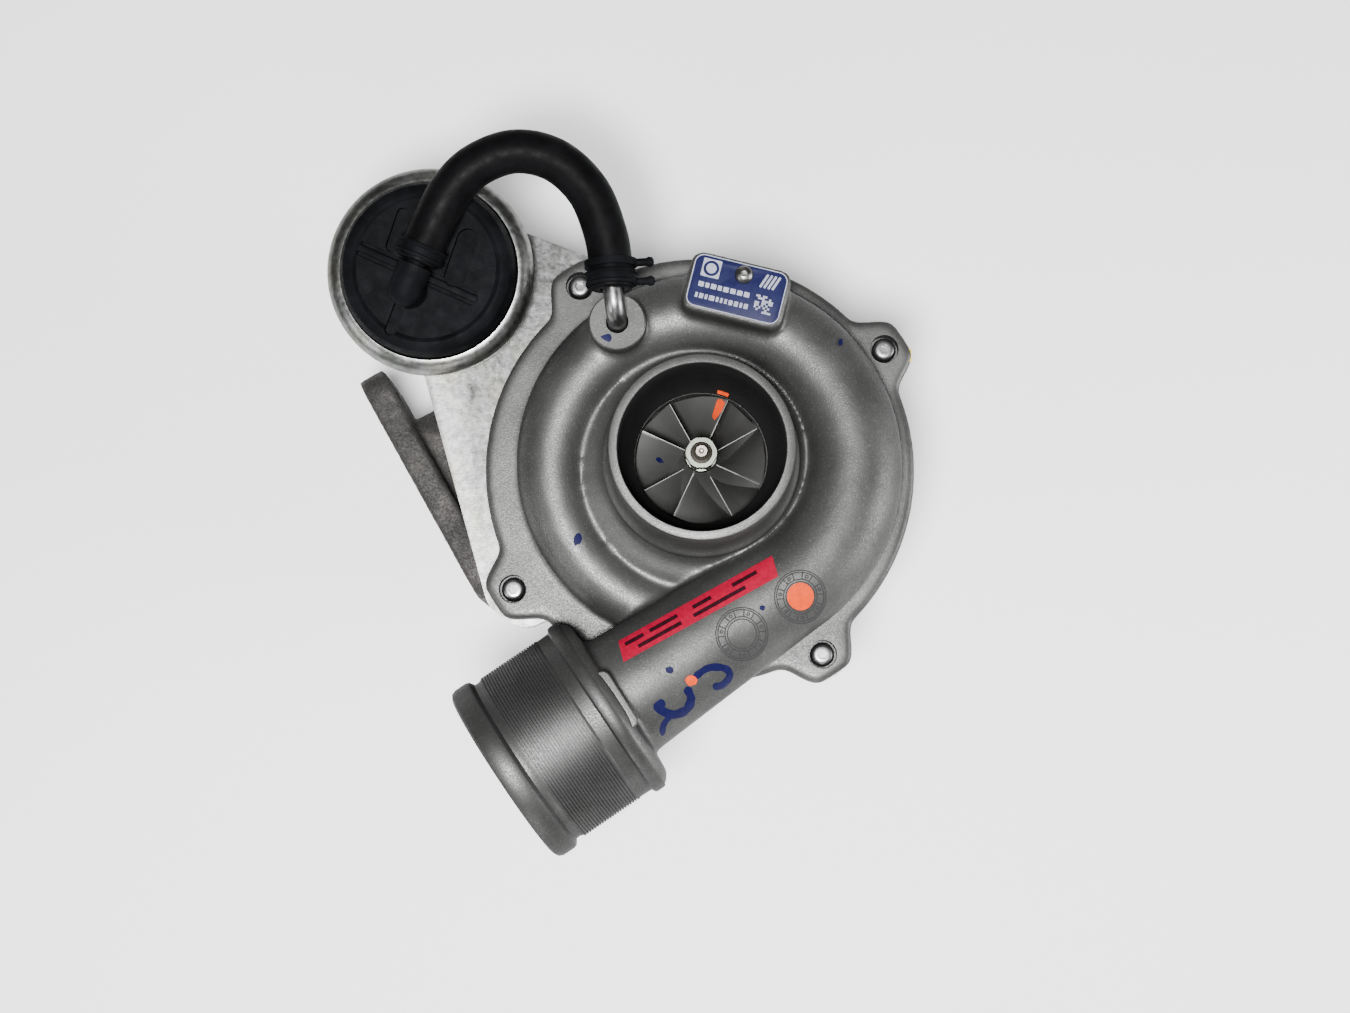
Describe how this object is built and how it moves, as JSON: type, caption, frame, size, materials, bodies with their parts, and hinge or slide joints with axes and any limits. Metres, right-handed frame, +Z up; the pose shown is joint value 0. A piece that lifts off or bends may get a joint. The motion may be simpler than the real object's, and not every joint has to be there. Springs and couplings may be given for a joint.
{
  "type": "turbocharger",
  "caption": "Small exhaust-driven turbocharger: turbine and compressor on one shaft in an oil-fed bearing housing, with a pressure actuator that opens a wastegate.",
  "frame": {"origin": "middle of the footprint, on the plane of the turbine outlet face, which the part stands on", "axes": "+Z up along the shaft, out of the compressor inlet; +X to the right and +Y to the back as seen from above with the oil inlet at the back, the oil drain at the front and the actuator back left"},
  "size_m": [0.176, 0.2074, 0.157],
  "materials": {
    "cast_aluminium": "shot-blasted casting, fine satin grain",
    "machined_aluminium": "machined, bright satin",
    "cast_iron": "rough dark casting, oxidised",
    "zinc_steel": "zinc plated, bright with a faint yellow",
    "steel": "turned, satin",
    "dark_alloy": "heat-resistant alloy, dark",
    "bronze": "turned bearing bronze",
    "black_plastic": "glass-filled black plastic",
    "rubber": "black rubber, matt",
    "blue_plate": "dark blue paint on thin sheet"
  },
  "bodies": {
    "housings": {"compressor_housing": "cast_aluminium", "thrust_bearing": "bronze", "bearing_circlip_compressor": "steel", "bearing_circlip_turbine": "steel", "compressor_seal_ring": "cast_iron", "turbine_seal_ring": "cast_iron", "oil_seal_plate": "steel", "seal_plate_o_ring": "rubber", "bearing_housing": "cast_iron", "bearing_housing_o_ring": "rubber", "heat_shield": "dark_alloy", "turbine_housing": "cast_iron", "clamp_plate_left": "steel", "clamp_plate_right": "steel", "clamp_bolt_1": "steel", "clamp_bolt_2": "steel", "clamp_bolt_3": "steel", "clamp_bolt_4": "steel", "actuator_bracket": "zinc_steel", "housing_screw_1": "zinc_steel", "housing_screw_2": "zinc_steel", "housing_screw_3": "zinc_steel", "housing_screw_4": "zinc_steel", "housing_nut_1": "zinc_steel", "housing_nut_2": "zinc_steel", "housing_nut_3": "zinc_steel", "housing_nut_4": "zinc_steel", "wastegate_bush": "steel", "actuator_can": "zinc_steel", "actuator_cap": "black_plastic", "actuator_diaphragm": "rubber", "actuator_spring": "steel", "actuator_nut_1": "zinc_steel", "actuator_nut_2": "zinc_steel", "hose_nipple": "zinc_steel", "boost_hose": "rubber", "hose_clamp_housing": "black_plastic", "hose_clamp_actuator": "black_plastic", "data_plate": "blue_plate", "data_plate_rivet": "zinc_steel"},
    "rotor": {"turbine_wheel_shaft": "dark_alloy", "thrust_collar": "steel", "oil_slinger": "steel", "compressor_wheel": "machined_aluminium", "shaft_nut": "zinc_steel"},
    "turbine_bearing": {"journal_bearing_turbine": "bronze"},
    "compressor_bearing": {"journal_bearing_compressor": "bronze"},
    "wastegate": {"wastegate_spindle": "dark_alloy", "wastegate_lever": "zinc_steel", "lever_pin": "zinc_steel", "rod_clip": "steel", "wastegate_flap": "dark_alloy", "flap_washer": "steel"},
    "actuator_rod": {"actuator_rod": "zinc_steel", "rod_end": "zinc_steel", "rod_lock_nut": "zinc_steel", "actuator_piston": "zinc_steel"}
  },
  "joints": [
    {"name": "rotor_spin", "type": "hinge", "parent": "housings", "child": "rotor", "pos_m": [0.02364, 0.01034, 0.08], "axis": [0, 0, -1], "continuous": true},
    {"name": "turbine_bearing_spin", "type": "hinge", "parent": "housings", "child": "turbine_bearing", "pos_m": [0.02364, 0.01034, 0.0715], "axis": [0, 0, -1], "continuous": true},
    {"name": "compressor_bearing_spin", "type": "hinge", "parent": "housings", "child": "compressor_bearing", "pos_m": [0.02364, 0.01034, 0.087], "axis": [0, 0, -1], "continuous": true},
    {"name": "wastegate_swing", "type": "hinge", "parent": "housings", "child": "wastegate", "pos_m": [0.0022, 0.0529, 0.018], "axis": [0.7071, -0.7071, 0], "range_deg": [0, 22]},
    {"name": "rod_slide", "type": "slide", "parent": "housings", "child": "actuator_rod", "axis": [0, 0.1219, -0.9925], "range_m": [0, 0.0087], "stiffness_N_per_m": 150, "springref_m": -0.006, "deforming": ["actuator_spring", "actuator_diaphragm"]}
  ],
  "couplings": [
    {"joint": "rod_slide", "follows": "wastegate_swing", "m_per_rad": 0.0224}
  ]
}
